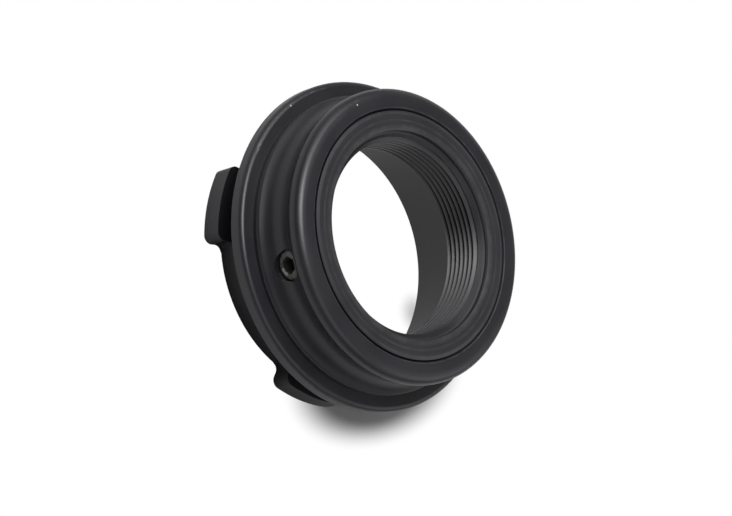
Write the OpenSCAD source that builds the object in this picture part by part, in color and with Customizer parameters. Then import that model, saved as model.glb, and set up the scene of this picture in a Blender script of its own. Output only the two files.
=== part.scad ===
// Lens adapter ring: a turned body with a bayonet on its rear end and, in its
// front end, an adjustable threaded insert that three set screws hold.
// The ring stands on its rear end, and its axis is Z.

/* [Ring] */
// Height from the rear end to the front face
total_h = 17; // [16.2:0.1:18.6]
// Radius of the bore that holds the threaded insert
seat_r = 15.92; // [15.9:0.01:16.1]
// Depth of that bore below the front face
seat_depth = 6.75; // [6.65:0.05:6.95]
// Smallest inner radius of the lip behind the insert
lip_r = 14.7; // [14.4:0.1:15]
// Thickness of that lip
lip_t = 1.15; // [1:0.05:1.5]

/* [Front rim] */
// Outer radius of the flat front face
face_r = 17.32; // [17.2:0.02:17.38]
// Radius of the gentle crown beside the flat
crown_r = 2.9; // [2.5:0.1:3.3]
// Radius of the rounding at the widest part of the rim
crest_round_r = 1.16; // [1:0.02:1.26]
// Widest radius of the rim
crest_r = 18.86; // [18.74:0.02:19]

/* [Waist and bead] */
// Smallest radius of the hollowed waist
waist_r = 17.76; // [17.7:0.02:17.94]
// Radius of the hollow in section
cove_round_r = 3.28; // [3.1:0.02:3.46]
// Outer radius of the bead in front of the flange
bead_r = 19.4; // [19.2:0.1:19.7]
// Radius of the rounding on the bead
bead_round_r = 0.68; // [0.5:0.02:0.78]

/* [Flange] */
// Outer radius of the flange
flange_r = 21.42; // [21.1:0.02:22.2]
// Depth of the flange's rear face below the front face
flange_depth = 9.58; // [9.5:0.02:9.86]
// Thickness of the flange
flange_t = 1.9; // [1.84:0.02:2.02]
// Radius of the rounding on the flange's front edge
flange_round_r = 0.68; // [0.5:0.02:0.78]

/* [Bayonet] */
// Outer radius of the rear tube
tube_r = 17.36; // [17.28:0.02:17.56]
// Inner radius of the rear tube
cavity_r = 16.6; // [16.4:0.05:16.7]
// Outer radius of the lugs
lug_r = 19.84; // [19.6:0.02:20.1]
// Thickness of the lugs along the axis
lug_t = 2.85; // [2.45:0.05:3.1]
// Number of lugs
lug_count = 4; // [3:1:4]
// Angle that one lug covers between the middles of its ends
lug_span = 30.5; // [26:0.5:36]
// Angle of the first lug about the axis
lug_start = -120.5; // [-125:0.5:-115]
// Radius of a lug's outer corners
lug_corner_r = 1.06; // [0.8:0.02:1.16]
// Radius of the fillet between a lug's end and the tube
lug_fillet_r = 0.92; // [0.8:0.02:0.96]
// Radius of the lock pin's recess in the flange's rear face
lock_hole_r = 1.06; // [0.9:0.02:1.26]

/* [Set screws] */
// Number of set screws
screw_count = 3; // [3:1:3]
// Outer radius of a set screw
screw_r = 1.9; // [1.85:0.05:1.9]
// Width of the hex socket across its flats
socket_w = 2; // [1.8:0.1:2]
// Depth of the hex socket
socket_depth = 1.5; // [1.2:0.1:1.6]
// Radius of the tapped hole
screw_hole_r = 1.95; // [1.95:0.05:2.05]
// Radius of the flat on the screw's tip
screw_tip_r = 1; // [0.8:0.1:1]

/* [Threaded insert] */
// Outer radius of the insert
insert_r = 15.87; // [15.84:0.01:15.87]
// Radius of the threaded bore, measured on the crests
thread_r = 12.3; // [12.1:0.1:12.4]
// Distance from one turn of the thread to the next
thread_pitch = 0.794; // [0.75:0.001:0.8]
// Number of grooves that stand for the thread's turns
thread_turns = 5; // [4:1:5]
// Radius of the opening in the front face
mouth_r = 13.46; // [13.4:0.02:13.6]

/* [Hidden] */
$fn = 96;

// Small chamfers and gaps
edge_c = 0.1;
rear_c = 0.12;
seat_gap = 0.02;
cut = 1;

// Crown and crest of the front rim: the crest's circle touches the crown's from inside
crest_x = crest_r - crest_round_r;
crown_lean = asin((crest_x - face_r) / (crown_r - crest_round_r));
crest_z = total_h - crown_r + (crown_r - crest_round_r) * cos(crown_lean);
crown_end_r = face_r + crown_r * sin(crown_lean);

// The hollow touches the crest's circle above it and the bead's circle below it
cove_x = waist_r + cove_round_r;
crest_reach = crest_round_r + cove_round_r;
cove_z = crest_z - sqrt(pow(crest_reach, 2) - pow(cove_x - crest_x, 2));
crest_touch_r = crest_x + crest_round_r * (cove_x - crest_x) / crest_reach;
bead_x = bead_r - bead_round_r;
bead_reach = bead_round_r + cove_round_r;
bead_z = cove_z - sqrt(pow(bead_reach, 2) - pow(cove_x - bead_x, 2));
bead_touch_r = bead_x + bead_round_r * (cove_x - bead_x) / bead_reach;

// Flange, seat and cavity heights above the rear end
flange_z = total_h - flange_depth;
flange_top_z = flange_z + flange_t;
seat_z = total_h - seat_depth;
cavity_top_z = seat_z - lip_t;
lock_hole_angle = 105;
lock_hole_depth = 1.2;
lock_hole_at_r = 18.9;

// The bore opens a little toward the front face, with a fine chamfer on its edge
seat_flare = 0.2;
seat_flare_depth = 0.5;
seat_edge_c = 0.1;

// Set screws sit in the middle of the hollow, their faces flush with it
screw_angles = [-90, 30, 150];
screw_face_r = waist_r - 0.08;
screw_tip_at_r = 14.8;
screw_face_c = 0.3;

// The insert's groove takes the screws' tips
groove_r = 14.72;
groove_flat = 1;
insert_h = seat_depth - seat_gap;

// The insert is a little narrower at its front end, which leaves a fine dark seam
nose_r = insert_r - 0.17;
nose_depth = 0.6;
nose_edge_w = 0.3;
nose_edge_depth = 0.08;

// Front face, shallow step and rounded land round the mouth
face_in_r = 14.86;
step_r = 14.52;
step_depth = 0.07;
land_r = 14.41;
land_half_r = 13.97;
land_half_depth = 0.12;
lip_edge_depth = 0.23;

// Recess behind the mouth, and the cone that leads into the thread
recess_depth = 0.77;
lead_r = 13.17;
lead_depth = 0.84;
thread_top = lead_depth + lead_r - thread_r;
thread_first = 2.33;
thread_depth = 0.43;
thread_root_half = 0.05;
thread_flank = thread_depth * tan(30);
rear_chamfer = 0.6;

// Outer section of the body, from the axis outward
module body_outline() {
    difference() {
        union() {
            translate([0, flange_top_z]) square([face_r, total_h - flange_top_z]);
            intersection() {
                translate([face_r, total_h - crown_r]) circle(r = crown_r);
                translate([0, flange_top_z]) square([crown_end_r, total_h - flange_top_z]);
            }
            translate([crest_x, crest_z]) circle(r = crest_round_r);
            translate([0, flange_top_z]) square([crest_touch_r, crest_z - flange_top_z]);
            translate([0, flange_top_z]) square([bead_touch_r, cove_z - flange_top_z]);
            translate([bead_x, bead_z]) circle(r = bead_round_r);
            translate([0, flange_top_z]) square([bead_r, bead_z - flange_top_z]);
        }
        translate([cove_x, cove_z]) circle(r = cove_round_r);
    }
    flange_outline();
    polygon([
        [0, 0],
        [tube_r - rear_c, 0],
        [tube_r, rear_c],
        [tube_r, flange_z + edge_c],
        [0, flange_z + edge_c]
    ]);
}

// Flange with a rounded front edge and a fine rear chamfer
module flange_outline() {
    round_z = flange_top_z - flange_round_r;
    polygon([
        [0, flange_z],
        [flange_r - edge_c, flange_z],
        [flange_r, flange_z + edge_c],
        [flange_r, round_z],
        [flange_r - flange_round_r, round_z],
        [flange_r - flange_round_r, flange_top_z],
        [0, flange_top_z]
    ]);
    translate([flange_r - flange_round_r, round_z]) circle(r = flange_round_r);
}

// Everything that is open inside the body
module body_opening() {
    polygon([
        [0, -cut],
        [cavity_r + edge_c, -cut],
        [cavity_r + edge_c, 0],
        [cavity_r, edge_c],
        [cavity_r, cavity_top_z],
        [lip_r, cavity_top_z],
        [lip_r, seat_z],
        [seat_r, seat_z],
        [seat_r, total_h - seat_flare_depth],
        [seat_r + seat_flare, total_h - seat_edge_c],
        [seat_r + seat_flare + seat_edge_c, total_h],
        [seat_r + seat_flare + seat_edge_c, total_h + cut],
        [0, total_h + cut]
    ]);
}

// Plan of one lug about +X: round outer corners, and fillets where it meets the tube
module lug_plan() {
    half = lug_span / 2;
    difference() {
        union() {
            intersection() {
                circle(r = lug_r);
                lug_sector(half - corner_turn());
            }
            for (side = [-1, 1]) {
                rotate(side * (half - corner_turn())) translate([lug_r - lug_corner_r, 0]) circle(r = lug_corner_r);
            }
            intersection() {
                circle(r = lug_r - lug_corner_r);
                lug_sector(half);
            }
            intersection() {
                circle(r = tube_r + lug_fillet_r);
                lug_sector(half + fillet_turn());
            }
        }
        for (side = [-1, 1]) {
            rotate(side * (half + fillet_turn())) translate([tube_r + lug_fillet_r, 0]) circle(r = lug_fillet_r);
        }
        circle(r = (cavity_r + tube_r) / 2);
    }
}

// Angles by which the corner and the fillet circles stand off a lug's end
function corner_turn() = asin(lug_corner_r / (lug_r - lug_corner_r));
function fillet_turn() = asin(lug_fillet_r / (tube_r + lug_fillet_r));

// Wedge about +X that reaches half_angle to each side
module lug_sector(half_angle) {
    reach = 2 * lug_r;
    polygon([
        [0, 0],
        [reach * cos(half_angle), -reach * sin(half_angle)],
        [reach * cos(half_angle), reach * sin(half_angle)]
    ]);
}

// Moves its children to a set screw's place: their +Z points outward along the screw
module at_screw(index) {
    rotate([0, 0, screw_angles[index]]) translate([0, 0, cove_z]) rotate([0, 90, 0]) children();
}

// The turned body with its bayonet lugs and the three tapped holes
module adapter_body() {
    color([0.24, 0.24, 0.25])
    difference() {
        union() {
            rotate_extrude() difference() {
                body_outline();
                body_opening();
            }
            for (i = [0 : lug_count - 1]) {
                rotate([0, 0, lug_start + i * 360 / lug_count]) linear_extrude(lug_t) lug_plan();
            }
        }
        for (i = [0 : screw_count - 1]) {
            at_screw(i) translate([0, 0, lip_r]) cylinder(r = screw_hole_r, h = crest_r + cut - lip_r);
        }
        rotate([0, 0, lock_hole_angle]) translate([lock_hole_at_r, 0, flange_z - cut])
            cylinder(r = lock_hole_r, h = lock_hole_depth + cut);
    }
}

// Section of the insert without its thread; heights are measured from the front face
module insert_outline() {
    groove_z = cove_z - total_h;
    groove_half = groove_flat + insert_r - groove_r;
    polygon([
        [face_in_r, 0],
        [nose_r - nose_edge_w, 0],
        [nose_r, -nose_edge_depth],
        [nose_r, nose_r - insert_r + nose_edge_depth - nose_depth],
        [insert_r, nose_edge_depth - nose_depth - 2 * (insert_r - nose_r)],
        [insert_r, groove_z + groove_half],
        [groove_r, groove_z + groove_flat],
        [groove_r, groove_z - groove_flat],
        [insert_r, groove_z - groove_half],
        [insert_r, edge_c - insert_h],
        [insert_r - edge_c, -insert_h],
        [thread_r + rear_chamfer, -insert_h],
        [thread_r, rear_chamfer - insert_h],
        [thread_r, -thread_top],
        [lead_r, -lead_depth],
        [mouth_r, -recess_depth],
        [mouth_r, -lip_edge_depth],
        [land_half_r, -land_half_depth],
        [land_r, -step_depth],
        [step_r, -step_depth]
    ]);
}

// Section of one groove of the thread, whose flanks stand at 60 degrees to each other
module thread_groove() {
    polygon([
        [-thread_depth, -thread_root_half - 2 * thread_flank],
        [thread_depth, -thread_root_half],
        [thread_depth, thread_root_half],
        [-thread_depth, thread_root_half + 2 * thread_flank]
    ]);
}

// The insert: stepped mouth, threaded bore, and a groove for the screws' tips
module threaded_insert() {
    color([0.28, 0.28, 0.3])
    translate([0, 0, total_h])
    rotate_extrude() difference() {
        insert_outline();
        for (i = [0 : thread_turns - 1]) {
            translate([thread_r, -thread_first - i * thread_pitch]) thread_groove();
        }
    }
}

// A set screw with a hex socket and a coned tip, pointing outward along +Z
module set_screw() {
    straight_from = screw_tip_at_r + screw_r - screw_tip_r;
    socket_corner_r = socket_w / 2 / cos(30);
    difference() {
        rotate_extrude() polygon([
            [0, screw_tip_at_r],
            [screw_tip_r, screw_tip_at_r],
            [screw_r, straight_from],
            [screw_r, screw_face_r - screw_face_c],
            [screw_r - screw_face_c, screw_face_r],
            [0, screw_face_r]
        ]);
        translate([0, 0, screw_face_r - socket_depth]) rotate([0, 0, 90])
            cylinder(r = socket_corner_r, h = socket_depth + cut, $fn = 6);
    }
}

module set_screw_front() {
    color([0.35, 0.35, 0.32]) at_screw(0) set_screw();
}

module set_screw_right() {
    color([0.35, 0.35, 0.32]) at_screw(1) set_screw();
}

module set_screw_left() {
    color([0.35, 0.35, 0.32]) at_screw(2) set_screw();
}

adapter_body();
threaded_insert();
set_screw_front();
set_screw_right();
set_screw_left();
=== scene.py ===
"""Looks of a black anodised lens adapter ring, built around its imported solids.

Lengths are in metres unless a docstring says millimetres. The ring stands on its
rear end, its axis is +Z, and the set screw nearest the camera points along -Y.
"""

import logging
import math
from dataclasses import dataclass
from enum import Enum
from typing import Any, Mapping, Optional, Sequence, Union

import bmesh
import bpy
from mathutils import Matrix, Vector


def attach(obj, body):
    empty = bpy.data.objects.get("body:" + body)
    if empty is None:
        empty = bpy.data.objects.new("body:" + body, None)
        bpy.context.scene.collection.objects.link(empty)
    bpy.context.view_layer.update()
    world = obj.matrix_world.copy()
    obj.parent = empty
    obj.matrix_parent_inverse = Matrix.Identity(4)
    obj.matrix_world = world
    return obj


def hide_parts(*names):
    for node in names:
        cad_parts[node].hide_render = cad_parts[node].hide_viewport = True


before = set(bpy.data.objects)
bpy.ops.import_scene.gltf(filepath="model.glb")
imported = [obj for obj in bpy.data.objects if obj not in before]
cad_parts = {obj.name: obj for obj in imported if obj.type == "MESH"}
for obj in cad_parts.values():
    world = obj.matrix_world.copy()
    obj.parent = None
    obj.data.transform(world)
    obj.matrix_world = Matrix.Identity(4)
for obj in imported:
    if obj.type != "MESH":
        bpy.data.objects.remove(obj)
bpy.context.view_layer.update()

Colour = tuple[float, float, float]
Point = tuple[float, float, float]
Number = Union[float, "Wire"]

MM = 0.001

# Body that the threaded insert rides on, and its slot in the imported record.
INSERT_BODY = "insert"

# Share of a spot's reach within which it is at its full strength.
SPOT_CORE = 0.6
# Average of a noise value.
NOISE_MIDDLE = 0.5
# Corners closer than this are one corner, and edges sharper than this stay sharp.
MERGE_DISTANCE = 0.0005 * MM
SHARP_DEGREES = 28.0

log = logging.getLogger("adapter_ring")


class Node(Enum):
    """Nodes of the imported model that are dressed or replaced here."""

    BODY = "adapter_body"
    INSERT = "threaded_insert"
    SCREW_FRONT = "set_screw_front"
    SCREW_RIGHT = "set_screw_right"
    SCREW_LEFT = "set_screw_left"


class Wire:
    """One output socket in a node tree, with arithmetic that adds Math nodes."""

    def __init__(self, tree: "Tree", socket: bpy.types.NodeSocket) -> None:
        """Keeps the tree and the socket.

        Args:
            tree: The tree that further nodes go into.
            socket: The output socket that this stands for.
        """
        self.tree = tree
        self.socket = socket

    def _math(self, operation: str, *values: Number) -> "Wire":
        """Adds one Math node on these values."""
        return self.tree.node("ShaderNodeMath", {"operation": operation}, values)

    def __add__(self, other: Number) -> "Wire":
        """Sum."""
        return self._math("ADD", self, other)

    def __radd__(self, other: Number) -> "Wire":
        """Sum with the plain number first."""
        return self._math("ADD", other, self)

    def __sub__(self, other: Number) -> "Wire":
        """Difference."""
        return self._math("SUBTRACT", self, other)

    def __rsub__(self, other: Number) -> "Wire":
        """Difference from a plain number."""
        return self._math("SUBTRACT", other, self)

    def __mul__(self, other: Number) -> "Wire":
        """Product."""
        return self._math("MULTIPLY", self, other)

    def __rmul__(self, other: Number) -> "Wire":
        """Product with the plain number first."""
        return self._math("MULTIPLY", other, self)

    def __pow__(self, other: Number) -> "Wire":
        """Power."""
        return self._math("POWER", self, other)

    def below(self, edge: Number) -> "Wire":
        """One where this is less than the edge, else zero."""
        return self._math("LESS_THAN", self, edge)

    def most(self, other: Number) -> "Wire":
        """The greater of the two."""
        return self._math("MAXIMUM", self, other)

    def root(self) -> "Wire":
        """Square root."""
        return self._math("SQRT", self)

    def ramp(self, low: float, high: float) -> "Wire":
        """Runs smoothly from 0 where this is at low to 1 where it is at high.

        Args:
            low: Value that gives 0.
            high: Value that gives 1; it may be the smaller of the two.

        Returns:
            The smoothed share.
        """
        settings = {"interpolation_type": "SMOOTHSTEP"}
        if low < high:
            return self.tree.node("ShaderNodeMapRange", settings, (self, low, high, 0.0, 1.0))
        return self.tree.node("ShaderNodeMapRange", settings, (self, high, low, 1.0, 0.0))


@dataclass(frozen=True)
class Noise:
    """Fineness of a noise.

    The scale is in cells to the metre, detail is the number of finer octaves, and
    rough is their strength.
    """

    scale: float
    detail: float = 2.0
    rough: float = 0.5


class Tree:
    """Node tree of a material or of the surroundings, filled through a single method."""

    def __init__(self, owner: Union[bpy.types.Material, bpy.types.World]) -> None:
        """Empties the owner's node tree.

        Args:
            owner: The material or the world.
        """
        self.owner = owner
        owner.use_nodes = True
        self.tree = owner.node_tree
        self.tree.nodes.clear()

    def node(
        self,
        kind: str,
        settings: Optional[Mapping[str, Any]] = None,
        inputs: Union[Mapping[Union[int, str], Any], Sequence[Any]] = (),
        output: Union[int, str] = 0,
    ) -> Wire:
        """Adds one node.

        Args:
            kind: Blender's name of the node type.
            settings: Properties to set first, such as a Math node's operation.
            inputs: Values or wires, by socket name, number or in order.
            output: Socket that the result stands for.

        Returns:
            The chosen output of the new node.
        """
        made = self.tree.nodes.new(kind)
        for key, value in (settings or {}).items():
            setattr(made, key, value)
        pairs = inputs.items() if isinstance(inputs, Mapping) else enumerate(inputs)
        for key, value in pairs:
            if isinstance(value, Wire):
                self.tree.links.new(value.socket, made.inputs[key])
            elif value is not None:
                made.inputs[key].default_value = value
        return Wire(self, made.outputs[output]) if len(made.outputs) else Wire(self, None)

    def mix(self, share: Number, first: Any, second: Any) -> Wire:
        """Mixes two colours.

        Args:
            share: Share of the second colour.
            first: Colour or wire at share 0.
            second: Colour or wire at share 1.

        Returns:
            The mixed colour.
        """
        ends = [opaque(c) if isinstance(c, tuple) else c for c in (first, second)]
        settings = {"data_type": "RGBA"}
        return self.node("ShaderNodeMix", settings, {0: share, 6: ends[0], 7: ends[1]}, output=2)

    def vector(self, operation: str, *values: Any, output: int = 0) -> Wire:
        """Adds one Vector Math node.

        Args:
            operation: Blender's name of the operation.
            values: Vectors or wires, in order.
            output: 0 for a vector, 1 for a number such as a length.

        Returns:
            The result.
        """
        return self.node("ShaderNodeVectorMath", {"operation": operation}, values, output)

    def noise(self, place: Wire, kind: Noise) -> Wire:
        """Noise value at a place, about NOISE_MIDDLE on average.

        Args:
            place: Vector that the noise is read at.
            kind: Fineness of the noise.

        Returns:
            The noise value.
        """
        values = {"Vector": place, "Scale": kind.scale, "Detail": kind.detail, "Roughness": kind.rough}
        return self.node("ShaderNodeTexNoise", None, values)

    def close(self, shader: Wire) -> Union[bpy.types.Material, bpy.types.World]:
        """Links a shader to the output.

        Args:
            shader: Shader to show.

        Returns:
            The finished material or world.
        """
        kind = "World" if isinstance(self.owner, bpy.types.World) else "Material"
        self.node("ShaderNodeOutput" + kind, None, {"Surface": shader})
        return self.owner


def opaque(colour: Colour) -> tuple[float, float, float, float]:
    """Adds a full alpha to a colour."""
    return (*colour, 1.0)


class RingSpace:
    """Cylinder coordinates about the ring's axis, read from a piece's own place."""

    def __init__(self, tree: Tree) -> None:
        """Adds the nodes that give the place, its radius and its height.

        Args:
            tree: Tree that the nodes go into.
        """
        self.tree = tree
        self.place = tree.node("ShaderNodeTexCoord", None, (), "Object")
        flat = tree.vector("MULTIPLY", self.place, (1.0, 1.0, 0.0))
        self.radius = tree.vector("LENGTH", flat, output=1)
        self.height = tree.node("ShaderNodeSeparateXYZ", None, (self.place,), "Z")

    def around(self) -> Wire:
        """Vector of radius and height, the same all the way round the ring."""
        return self.tree.node("ShaderNodeCombineXYZ", None, (self.radius, self.height, 0.0))

    def near_circle(self, radius: float, height: float, reach: float) -> Wire:
        """Share that rises to 1 on a circle about the axis.

        Args:
            radius: Radius of the circle.
            height: Height of the circle.
            reach: Distance at which the share is 0.

        Returns:
            The share.
        """
        off = ((self.radius - radius) ** 2.0 + (self.height - height) ** 2.0).root()
        return off.ramp(reach, 0.0)

    def near_point(self, point: Point, reach: float) -> Wire:
        """Share that rises to 1 at a point.

        Args:
            point: The point.
            reach: Distance at which the share is 0.

        Returns:
            The share.
        """
        away = self.tree.vector("DISTANCE", self.place, point, output=1)
        return away.ramp(reach, SPOT_CORE * reach)


@dataclass(frozen=True)
class EdgeHighlightAndWear:
    """A circle about the axis painted pale: a painted highlight line on an edge, patchy like rubbed
    wear.

    The radius, the height and the reach are in millimetres, and share is the
    strength on the circle.
    """

    radius: float
    height: float
    reach: float
    share: float


@dataclass(frozen=True)
class AnodisedFinish:
    """Black anodised aluminium: satin, finely turned, with painted edge highlights patchy like rubbed
    wear.

    The three fade shares weigh the cloud, broad and grain noises, and the three
    swings say how far the cloud, feed and grain noises move the roughness.
    """

    name: str
    dye: Colour = (0.0195, 0.0188, 0.0230)
    faded: Colour = (0.0275, 0.0267, 0.0315)
    # Pale colour of the painted edge highlights and of the pale spots by the front screw hole.
    pale_mark: Colour = (0.10, 0.10, 0.105)
    # Colour of the small pale specks.
    speck_colour: Colour = (0.62, 0.62, 0.60)
    roughness: float = 0.31
    specular: float = 0.5
    feed_noise: Noise = Noise(9000.0, 3.0, 0.6)
    broad_noise: Noise = Noise(900.0)
    cloud_noise: Noise = Noise(110.0, 4.0, 0.55)
    grain_noise: Noise = Noise(14000.0, 2.0, 0.7)
    patch_noise: Noise = Noise(600.0, 3.0, 0.6)
    fade_shares: tuple[float, float, float] = (0.55, 0.25, 0.2)
    fade_edge: tuple[float, float] = (0.38, 0.66)
    patch_edge: tuple[float, float] = (0.42, 0.62)
    # Strength of the painted edge highlights, everywhere and in patches like wear.
    edge_highlight_everywhere: float = 0.35
    edge_highlight_in_patches: float = 0.65
    edge_highlight_strength: float = 0.8
    swings: tuple[float, float, float] = (0.10, 0.12, 0.06)
    turning: float = 0.06
    turning_depth: float = 0.02 * MM
    grain: float = 0.05
    grain_depth: float = 0.01 * MM
    # Circles painted pale as edge highlights, patchy like rubbed wear.
    edge_highlights_and_wear: tuple[EdgeHighlightAndWear, ...] = ()
    specks: tuple[Point, ...] = ()
    speck_reach: float = 0.13 * MM
    # Pale spots painted on the front screw hole's edge.
    hole_edge_spots: tuple[Point, ...] = ()
    hole_edge_spot_reach: float = 0.26 * MM

    def material(self) -> bpy.types.Material:
        """Builds the finish.

        Returns:
            The material.
        """
        tree = Tree(bpy.data.materials.new(self.name))
        ring = RingSpace(tree)
        feed = tree.noise(ring.around(), self.feed_noise)
        broad = tree.noise(ring.around(), self.broad_noise)
        cloud = tree.noise(ring.place, self.cloud_noise)
        grain = tree.noise(ring.place, self.grain_noise)
        by_cloud, by_broad, by_grain = self.fade_shares
        fade = (by_cloud * cloud + by_broad * broad + by_grain * grain).ramp(*self.fade_edge)
        colour = tree.mix(fade, self.dye, self.faded)
        colour = self._with_marks(tree, ring, colour)
        rough: Number = self.roughness
        for swing, height in zip(self.swings, (cloud, feed, grain)):
            rough = rough + swing * (height - NOISE_MIDDLE)
        values = {
            "Base Color": colour,
            "Roughness": rough,
            "Normal": self._bump(tree, feed, grain),
            "Specular IOR Level": self.specular,
        }
        return tree.close(tree.node("ShaderNodeBsdfPrincipled", None, values))

    def _with_marks(self, tree: Tree, ring: RingSpace, colour: Wire) -> Wire:
        """Colour with its painted edge highlights, its pale spots by the screw hole and its small pale
        specks.

        Args:
            tree: Tree that the nodes go into.
            ring: Coordinates about the ring's axis.
            colour: Colour before these marks.

        Returns:
            The colour with these marks.
        """
        patchy = tree.noise(ring.place, self.patch_noise).ramp(*self.patch_edge)
        edge_lines: Number = 0.0
        # Painted highlight lines on the edges, stronger in patches like wear.
        for edge in self.edge_highlights_and_wear:
            near = ring.near_circle(edge.radius * MM, edge.height * MM, edge.reach * MM)
            edge_lines = near * edge.share + edge_lines
        if isinstance(edge_lines, Wire):
            edge_lines = edge_lines * (self.edge_highlight_everywhere + self.edge_highlight_in_patches * patchy) * self.edge_highlight_strength
            colour = tree.mix(edge_lines, colour, self.pale_mark)
        # Pale spots painted on the front screw hole's edge.
        for pale_spot in self.hole_edge_spots:
            colour = tree.mix(ring.near_point(pale_spot, self.hole_edge_spot_reach), colour, self.pale_mark)
        # Small pale specks.
        for speck in self.specks:
            colour = tree.mix(ring.near_point(speck, self.speck_reach), colour, self.speck_colour)
        return colour

    def _bump(self, tree: Tree, feed: Wire, grain: Wire) -> Wire:
        """Normal of the turning marks and the fine grain.

        Args:
            tree: Tree that the nodes go into.
            feed: Height of the turning marks.
            grain: Height of the grain.

        Returns:
            The bent normal.
        """
        marks = {"Height": feed, "Strength": self.turning, "Distance": self.turning_depth}
        turned = tree.node("ShaderNodeBump", None, marks)
        fine = {
            "Height": grain,
            "Strength": self.grain,
            "Distance": self.grain_depth,
            "Normal": turned,
        }
        return tree.node("ShaderNodeBump", None, fine)


@dataclass(frozen=True)
class ScrewFinish:
    """Dark steel of a set screw, scraped bright where the key has turned it."""

    name: str
    steel: Colour = (0.150, 0.148, 0.138)
    oxide: Colour = (0.075, 0.074, 0.066)
    bright: Colour = (0.50, 0.49, 0.46)
    metallic: float = 0.5
    roughness: float = 0.38
    swing: float = 0.2
    cloud_noise: Noise = Noise(900.0, 4.0, 0.6)
    grain_noise: Noise = Noise(9000.0, 3.0, 0.6)
    oxide_edge: tuple[float, float] = (0.35, 0.65)
    glint_edge: tuple[float, float] = (0.60, 0.72)
    glint_strength: float = 0.5
    grain: float = 0.25
    grain_depth: float = 0.02 * MM
    key_marks: tuple[Point, ...] = (
        (0.00035, -0.01768, 0.01170),
        (0.00062, -0.01768, 0.01187),
        (0.00088, -0.01768, 0.01210),
    )
    mark_reach: float = 0.30 * MM

    def material(self) -> bpy.types.Material:
        """Builds the finish.

        Returns:
            The material.
        """
        tree = Tree(bpy.data.materials.new(self.name))
        ring = RingSpace(tree)
        cloud = tree.noise(ring.place, self.cloud_noise)
        grain = tree.noise(ring.place, self.grain_noise)
        colour = tree.mix(cloud.ramp(*self.oxide_edge), self.oxide, self.steel)
        glint = grain.ramp(*self.glint_edge) * self.glint_strength
        colour = tree.mix(glint, colour, self.bright)
        for mark in self.key_marks:
            colour = tree.mix(ring.near_point(mark, self.mark_reach), colour, self.bright)
        values = {"Height": grain, "Strength": self.grain, "Distance": self.grain_depth}
        bump = tree.node("ShaderNodeBump", None, values)
        shader = {
            "Base Color": colour,
            "Metallic": self.metallic,
            "Roughness": self.roughness + self.swing * (grain - NOISE_MIDDLE),
            "Normal": bump,
        }
        return tree.close(tree.node("ShaderNodeBsdfPrincipled", None, shader))


def dress_node(node: Node, material: bpy.types.Material) -> None:
    """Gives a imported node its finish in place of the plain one.

    Args:
        node: The node.
        material: The finish.
    """
    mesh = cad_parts[node.value].data
    mesh.materials.clear()
    mesh.materials.append(material)
    log.info("%s: dressed in %s", node.value, material.name)


@dataclass
class AdapterBody:
    """The turned body with its bayonet lugs, kept as packed and dressed."""

    node: Node = Node.BODY
    finish: AnodisedFinish = AnodisedFinish(
        "body_anodised",
        # Painted highlight lines, patchy like rubbed wear: the body's edge at the seam, the flange's
        # front edge and the bead.
        edge_highlights_and_wear=(
            EdgeHighlightAndWear(16.2, 16.98, 0.14, 0.7),
            EdgeHighlightAndWear(21.4, 7.45, 0.22, 1.0),
            EdgeHighlightAndWear(19.4, 10.8, 0.25, 0.3),
        ),
        # Two small pale specks, on the flange's front face and on the rim.
        specks=((-0.01933, -0.00781, 0.00932), (-0.01719, -0.00397, 0.01697)),
        # Pale spots painted on the front screw hole's edge.
        hole_edge_spots=(
            (0.00080, -0.01782, 0.01095),
            (0.00120, -0.01782, 0.01120),
            (0.00155, -0.01780, 0.01150),
        ),
    )

    def build(self) -> None:
        """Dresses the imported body."""
        dress_node(self.node, self.finish.material())


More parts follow.
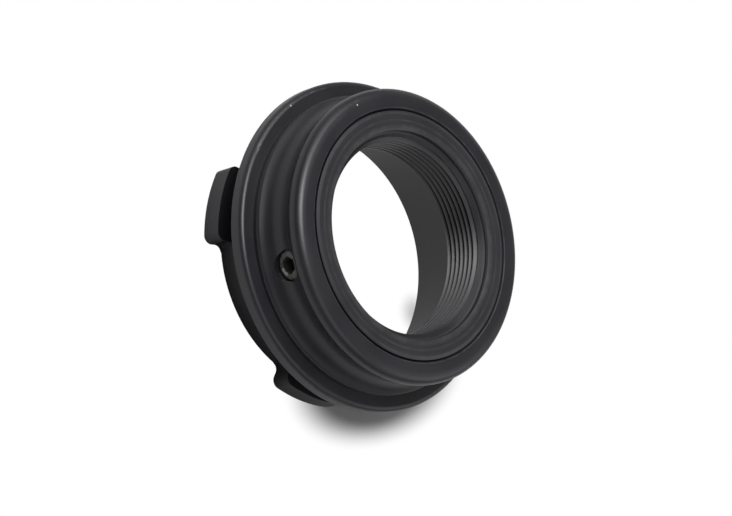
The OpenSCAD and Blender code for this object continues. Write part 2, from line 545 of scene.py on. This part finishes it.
@dataclass
class ThreadedInsert:
    """The insert with its real thread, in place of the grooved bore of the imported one.

    Sizes are in millimetres, and heights are measured from the front face.
    """

    node: Node = Node.INSERT
    top: float = 17.0
    outer_r: float = 15.87
    height: float = 6.73
    nose_r: float = 15.82
    nose_edge: tuple[float, float] = (0.4, 0.09)
    nose_depth: float = 0.6
    groove_r: float = 14.72
    groove_z: float = -4.127
    groove_flat: float = 1.0
    rear_c: float = 0.1
    face_in_r: float = 14.86
    step: tuple[tuple[float, float], ...] = ((14.62, -0.06), (14.46, -0.03))
    land_steps: int = 6
    mouth_r: float = 13.32
    land_drop: float = 0.13
    land_power: float = 2.6
    recess: tuple[tuple[float, float], ...] = ((13.32, -0.77), (13.05, -0.84))
    crest_r: float = 12.3
    pitch: float = 25.4 / 32
    depth: float = 0.43
    crest_flat: float = 0.10
    root_flat: float = 0.08
    phase: float = 0.42
    rear_chamfer: float = 0.06
    flank_rows: int = 6
    spare_turns: int = 2
    segments: int = 288
    finish: AnodisedFinish = AnodisedFinish(
        "insert_anodised",
        dye=(0.0265, 0.0257, 0.0300),
        faded=(0.0370, 0.0360, 0.0410),
        roughness=0.29,
        # Painted highlight lines and a band, patchy like rubbed wear: the land by the mouth, the step,
        # the face's outer edge and the thread's rear end.
        edge_highlights_and_wear=(
            EdgeHighlightAndWear(13.70, 16.93, 0.60, 0.42),
            EdgeHighlightAndWear(14.62, 16.96, 0.14, 0.6),
            EdgeHighlightAndWear(15.50, 16.98, 0.15, 0.5),
            EdgeHighlightAndWear(12.36, 10.27, 0.14, 2.0),
        ),
    )

    def bore_radius(self, z: float, turn: float) -> float:
        """Radius of the threaded bore, with its leading cone and rear chamfer.

        Args:
            z: Height from the front face, in millimetres.
            turn: Angle about the axis, in turns.

        Returns:
            The radius in millimetres.
        """
        lead_r, lead_z = self.recess[-1]
        cone = lead_r + (z - lead_z)
        chamfer = self.crest_r + self.rear_chamfer - (z + self.height)
        thread = self.crest_r + self.depth * self._profile(z / self.pitch - turn - self.phase)
        return max(thread, cone, chamfer)

    def _profile(self, place: float) -> float:
        """Share of the depth within one pitch: 0 on the crest, 1 in the root."""
        off_root = abs((place % 1.0) - 0.5) * 2.0
        crest = 1.0 - self.crest_flat / self.pitch
        root = self.root_flat / self.pitch
        return min(1.0, max(0.0, (crest - off_root) / (crest - root)))

    def build(self) -> None:
        """Builds the insert's mesh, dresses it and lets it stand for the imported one."""
        piece = new_piece("insert_with_thread", self._mesh(), self.finish.material())
        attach(piece, INSERT_BODY)
        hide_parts(self.node.value)
        log.info("%s: %d faces", piece.name, len(piece.data.polygons))

    def _mesh(self) -> bmesh.types.BMesh:
        """Sweeps the section round the axis, with the thread's rows on their helix.

        Returns:
            The closed mesh.
        """
        made = bmesh.new()
        rings: list[list[bmesh.types.BMVert]] = []
        outside = self._outside()
        for i in range(self.segments):
            turn = i / self.segments
            angle = 2.0 * math.pi * turn
            c, s = math.cos(angle) * MM, math.sin(angle) * MM
            line = self._bore(turn) + outside
            rings.append([made.verts.new((r * c, r * s, (self.top + z) * MM)) for r, z in line])
        bore_rows = len(rings[0]) - len(outside)
        for i in range(self.segments):
            here, there = rings[i], rings[(i + 1) % self.segments]
            closing = len(self._phases()) if i + 1 == self.segments else 0
            self._join(made, here, there, bore_rows, closing)
        return made

    def _phases(self) -> list[float]:
        """Places within one pitch that carry a row, from one crest's middle to the next."""
        crest = 0.5 * self.crest_flat / self.pitch
        root = 0.5 * self.root_flat / self.pitch
        flank = 0.5 - root - crest
        steps = range(self.flank_rows + 1)
        rows = [crest + flank * i / self.flank_rows for i in steps]
        return rows + [0.5 + root + flank * i / self.flank_rows for i in steps]

    def _bore(self, turn: float) -> list[tuple[float, float]]:
        """Radius and height of the bore's rows at one angle, from the cone to the rear.

        Args:
            turn: Angle about the axis, in turns.

        Returns:
            The rows; those past either end lie on it.
        """
        top = self.recess[-1][1]
        above = math.ceil(top / self.pitch - self.phase)
        count = math.ceil(self.height / self.pitch) + self.spare_turns
        rows = []
        for k in range(count):
            for place in self._phases():
                z = (turn + self.phase + above - k - place) * self.pitch
                z = min(top, max(-self.height, z))
                rows.append((self.bore_radius(z, turn), z))
        return rows

    def _outside(self) -> list[tuple[float, float]]:
        """Rest of the section, from the rear end round the outside to the mouth's recess.

        Returns:
            Radius and height of each point.
        """
        rear, mid = -self.height, self.groove_z
        half = self.groove_flat + self.outer_r - self.groove_r
        slope = self.outer_r - self.nose_r
        edge_w, edge_z = self.nose_edge
        shell = [
            (self.outer_r - self.rear_c, rear),
            (self.outer_r, rear + self.rear_c),
            (self.outer_r, mid - half),
            (self.groove_r, mid - self.groove_flat),
            (self.groove_r, mid + self.groove_flat),
            (self.outer_r, mid + half),
            (self.outer_r, edge_z - self.nose_depth - 2.0 * slope),
            (self.nose_r, edge_z - self.nose_depth - slope),
            (self.nose_r, -edge_z),
            (self.nose_r - edge_w, 0.0),
            (self.face_in_r, 0.0),
        ]
        land_r, land_z = self.step[-1]
        width = land_r - self.mouth_r
        land = []
        for i in range(1, self.land_steps + 1):
            off = width * i / self.land_steps
            land.append((land_r - off, land_z - self.land_drop * (off / width) ** self.land_power))
        return shell + list(self.step) + land + [self.recess[0]]

    @staticmethod
    def _join(
        made: bmesh.types.BMesh,
        here: Sequence[bmesh.types.BMVert],
        there: Sequence[bmesh.types.BMVert],
        bore_rows: int,
        closing: int,
    ) -> None:
        """Fills the strip between two sections.

        Args:
            made: Mesh that the faces go into.
            here: Vertices of one section.
            there: Vertices of the next one.
            bore_rows: Vertices of the bore, which come first.
            closing: Rows by which the helix has climbed where the sweep closes.
        """
        count = len(here)
        for j in range(count):
            k = (j + 1) % count
            far_j, far_k = (max(row - closing, 0) if row < bore_rows else row for row in (j, k))
            corners = list(dict.fromkeys((here[j], here[k], there[far_k], there[far_j])))
            if len(corners) > 2:
                made.faces.new(corners)


def new_piece(name: str, made: bmesh.types.BMesh, material: bpy.types.Material) -> bpy.types.Object:
    """Turns a bmesh into a shown object.

    Args:
        name: Name of the piece.
        made: Its mesh, which is freed.
        material: Its finish.

    Returns:
        The object.
    """
    bmesh.ops.remove_doubles(made, verts=made.verts, dist=MERGE_DISTANCE)
    bmesh.ops.dissolve_degenerate(made, edges=made.edges, dist=MERGE_DISTANCE)
    bmesh.ops.recalc_face_normals(made, faces=made.faces)
    mesh = bpy.data.meshes.new(name)
    made.to_mesh(mesh)
    made.free()
    mesh.shade_smooth()
    mesh.set_sharp_from_angle(angle=math.radians(SHARP_DEGREES))
    mesh.materials.append(material)
    piece = bpy.data.objects.new(name, mesh)
    bpy.context.scene.collection.objects.link(piece)
    return piece


@dataclass
class SetScrew:
    """One of the three set screws, kept as packed and dressed."""

    node: Node

    def build(self, material: bpy.types.Material) -> None:
        """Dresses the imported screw."""
        dress_node(self.node, material)


@dataclass(frozen=True)
class Glow:
    """A soft pale patch of the surroundings.

    Toward is the direction of its middle, reach is the angle in degrees at which it
    has faded out, and level is how much it adds at its middle.
    """

    name: str
    toward: Point
    reach: float
    level: float


@dataclass(frozen=True)
class Lamp:
    """A soft square lamp: where it stands and points, its side and its power."""

    name: str
    place: Point
    target: Point
    size: float
    watts: float


@dataclass
class Studio:
    """Pale floor, soft surroundings, one soft lamp and the camera.

    The floor is plain white to the camera, apart from a soft patch that shows the
    ring's shadow, as in the photographed view. The squeeze, centre and edge of the
    shade give that patch, and the corner's values a smaller one seen through the
    bore. Mirrored rays see paper, with white added under the ring.
    """

    location: Point = (0.000741, -0.175583, 0.194683)
    right: Point = (0.244210, 0.706790, 0.663935)
    up: Point = (-0.969719, 0.179904, 0.165168)
    back: Point = (-0.002705, -0.684166, 0.729321)
    lens_mm: float = 98.36
    sensor_mm: float = 36.0
    clip: tuple[float, float] = (0.01, 20.0)
    floor_half: float = 3.0
    paper_level: float = 0.8
    mirror_level: float = 0.62
    shaded_level: float = 0.42
    lit_radius: float = 17.0 * MM
    hole_level: float = 0.75
    shade_squeeze: Point = (1.0, 0.55, 0.0)
    shade_centre: Point = (0.0170, 0.0022, 0.0)
    shade_edge: tuple[float, float] = (0.0055, 0.0095)
    corner_shade: Point = (0.0103, 0.0133, 0.0)
    corner_edge: tuple[float, float] = (0.0034, 0.0002)
    corner_strength: float = 0.5
    lamp: Lamp = Lamp("key", (-0.14, -0.05, 0.40), (0.0, 0.0, 0.01), 0.16, 0.5)
    base_level: float = 0.08
    glows: tuple[Glow, ...] = (
        Glow("high_near", (-0.433, -0.250, 0.866), 28.0, 2.3),
        Glow("high_far", (-0.433, 0.250, 0.866), 28.0, 1.8),
        Glow("high_low_side", (0.433, -0.250, 0.866), 30.0, 0.8),
        Glow("behind", (0.539, 0.642, 0.545), 30.0, 1.0),
        Glow("behind_high_side", (-0.826, 0.146, 0.545), 30.0, 0.8),
        Glow("beside", (0.826, 0.146, 0.545), 30.0, 0.35),
        Glow("left_low", (0.636, -0.759, 0.139), 30.0, 0.15),
        Glow("right_low", (-0.339, 0.931, 0.139), 30.0, 0.5),
    )

    def build(self) -> None:
        """Builds the whole studio."""
        self._camera()
        self._floor()
        self._world()
        self._lamp()
        bpy.context.scene.view_settings.view_transform = "Standard"

    def _camera(self) -> None:
        """Puts the camera where the photographed ring's circles say it stood."""
        data = bpy.data.cameras.new("camera")
        data.lens = self.lens_mm
        data.sensor_width = self.sensor_mm
        data.clip_start, data.clip_end = self.clip
        camera = bpy.data.objects.new("camera", data)
        columns = (self.right, self.up, self.back)
        turn = Matrix([[columns[c][r] for c in range(3)] for r in range(3)]).to_4x4()
        camera.matrix_world = Matrix.Translation(self.location) @ turn
        bpy.context.scene.collection.objects.link(camera)
        bpy.context.scene.camera = camera

    def _floor(self) -> None:
        """Adds the pale floor that the ring stands on."""
        made = bmesh.new()
        half = self.floor_half
        square = ((-half, -half), (half, -half), (half, half), (-half, half))
        made.faces.new([made.verts.new((x, y, 0.0)) for x, y in square])
        tree = Tree(bpy.data.materials.new("floor_paper"))
        seen = tree.node("ShaderNodeLightPath", None, (), "Is Camera Ray")
        mirrored = tree.node("ShaderNodeLightPath", None, (), "Is Glossy Ray")
        mirrored = mirrored.most(tree.node("ShaderNodeLightPath", None, (), "Is Transmission Ray"))
        paper = self._paper(tree, self.paper_level)
        shaded = self._paper(tree, self.shaded_level)
        image = self._paper(tree, self.mirror_level)
        white = {"Color": (1.0, 1.0, 1.0, 1.0), "Strength": 1.0}
        glow = tree.node("ShaderNodeEmission", None, white)
        ring = RingSpace(tree)
        inside = ring.radius.below(self.lit_radius)
        squeezed = tree.vector("MULTIPLY", ring.place, self.shade_squeeze)
        off_shade = tree.vector("DISTANCE", squeezed, self.shade_centre, output=1)
        off_corner = tree.vector("DISTANCE", ring.place, self.corner_shade, output=1)
        corner = off_corner.ramp(*self.corner_edge)
        clear = off_shade.ramp(*self.shade_edge).most(inside) - self.corner_strength * corner
        bright = tree.node("ShaderNodeMixShader", None, (clear, shaded, glow))
        image = tree.node("ShaderNodeMixShader", None, (inside * self.hole_level, image, glow))
        mixed = tree.node("ShaderNodeMixShader", None, (mirrored, paper, image))
        mixed = tree.node("ShaderNodeMixShader", None, (seen, mixed, bright))
        floor = new_piece("floor", made, tree.close(mixed))

    @staticmethod
    def _paper(tree: Tree, level: float) -> Wire:
        """Diffuse paper of a plain grey level."""
        return tree.node("ShaderNodeBsdfDiffuse", None, {"Color": (level, level, level, 1.0)})

    def _world(self) -> None:
        """Surrounds the ring with soft pale light, brighter in some directions."""
        world = bpy.data.worlds.new("surroundings")
        bpy.context.scene.world = world
        tree = Tree(world)
        way = tree.node("ShaderNodeTexCoord", None, (), "Generated")
        level: Number = self.base_level
        for glow in self.glows:
            facing = tree.vector("DOT_PRODUCT", way, glow.toward, output=1)
            level = facing.ramp(math.cos(math.radians(glow.reach)), 1.0) * glow.level + level
        tree.close(tree.node("ShaderNodeBackground", None, {"Color": level, "Strength": 1.0}))

    def _lamp(self) -> None:
        """Adds the lamp."""
        data = bpy.data.lights.new(self.lamp.name, "AREA")
        data.shape = "SQUARE"
        data.size = self.lamp.size
        data.energy = self.lamp.watts
        lamp = bpy.data.objects.new(self.lamp.name, data)
        lamp.location = self.lamp.place
        away = Vector(self.lamp.place) - Vector(self.lamp.target)
        lamp.rotation_euler = away.to_track_quat("Z", "Y").to_euler()
        bpy.context.scene.collection.objects.link(lamp)


def main() -> None:
    """Builds the studio and every sub-assembly in order."""
    logging.basicConfig(level=logging.INFO, format="%(message)s")
    Studio().build()
    AdapterBody().build()
    ThreadedInsert().build()
    steel = ScrewFinish("dark_steel").material()
    for node in (Node.SCREW_FRONT, Node.SCREW_RIGHT, Node.SCREW_LEFT):
        SetScrew(node).build(steel)


if __name__ == "__main__":
    main()
